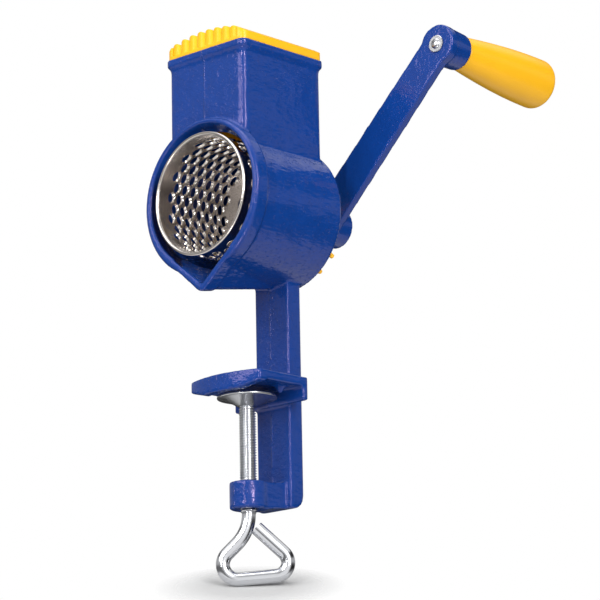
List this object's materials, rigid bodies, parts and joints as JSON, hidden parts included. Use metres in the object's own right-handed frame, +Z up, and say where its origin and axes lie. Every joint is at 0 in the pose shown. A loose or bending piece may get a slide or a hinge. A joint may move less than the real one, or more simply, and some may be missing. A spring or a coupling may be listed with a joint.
{
  "type": "nut grinder",
  "caption": "Table-clamp nut grinder: cast frame with square hopper and drum housing, ribbed pusher, perforated grater drum, hand crank and screw clamp.",
  "frame": {"origin": "middle of the flat seat under the front lip of the upper jaw, where the grinder rests on the table top", "axes": "+Z up, away from the table; +Y along the drum axis from the open mouth towards the crank; +X across, to the right seen from the mouth"},
  "size_m": [0.1221, 0.1701, 0.2709],
  "materials": {
    "blue_coat": "glossy blue powder coat on a cast aluminium body, slight orange peel",
    "yellow_plastic": "smooth moulded yellow plastic",
    "stainless": "bright rolled stainless steel",
    "zinc": "bright zinc plated steel"
  },
  "bodies": {
    "frame": {"body_casting": "blue_coat", "bearing_sleeve": "yellow_plastic"},
    "pusher": {"pusher": "yellow_plastic"},
    "rotor": {"drum_shell": "stainless", "drum_end": "stainless", "drum_hub": "zinc", "hub_rivets": "stainless", "spindle": "zinc", "drum_screw": "zinc", "spring_washer": "zinc", "drum_washer": "zinc", "thrust_washer": "zinc", "crank_arm": "blue_coat", "crank_pin": "stainless", "handle_axle": "stainless", "axle_washer": "stainless", "grip_washer": "stainless"},
    "grip": {"grip": "yellow_plastic"},
    "clamp_foot": {"pressure_disc": "zinc"},
    "clamp_screw": {"clamp_screw": "zinc"}
  },
  "joints": [
    {"name": "crank_turn", "type": "hinge", "parent": "frame", "child": "rotor", "pos_m": [0, 0.05, 0.094], "axis": [0, 1, 0], "continuous": true},
    {"name": "grip_turn", "type": "hinge", "parent": "rotor", "child": "grip", "pos_m": [0.0726, 0.12262, 0.16892], "axis": [-0.034, 0.9988, -0.0351], "continuous": true},
    {"name": "pusher_lift", "type": "slide", "parent": "frame", "child": "pusher", "axis": [0, 0, 1], "range_m": [0, 0.06]},
    {"name": "clamp_travel", "type": "slide", "parent": "frame", "child": "clamp_foot", "axis": [0, 0, 1], "range_m": [-0.035, 0]},
    {"name": "clamp_turn", "type": "hinge", "parent": "clamp_foot", "child": "clamp_screw", "pos_m": [0, 0.0161, -0.02], "axis": [0, 0, 1], "range_deg": [-10080, 0]}
  ],
  "couplings": [
    {"joint": "clamp_turn", "follows": "clamp_travel", "rad_per_m": 5026.5}
  ]
}
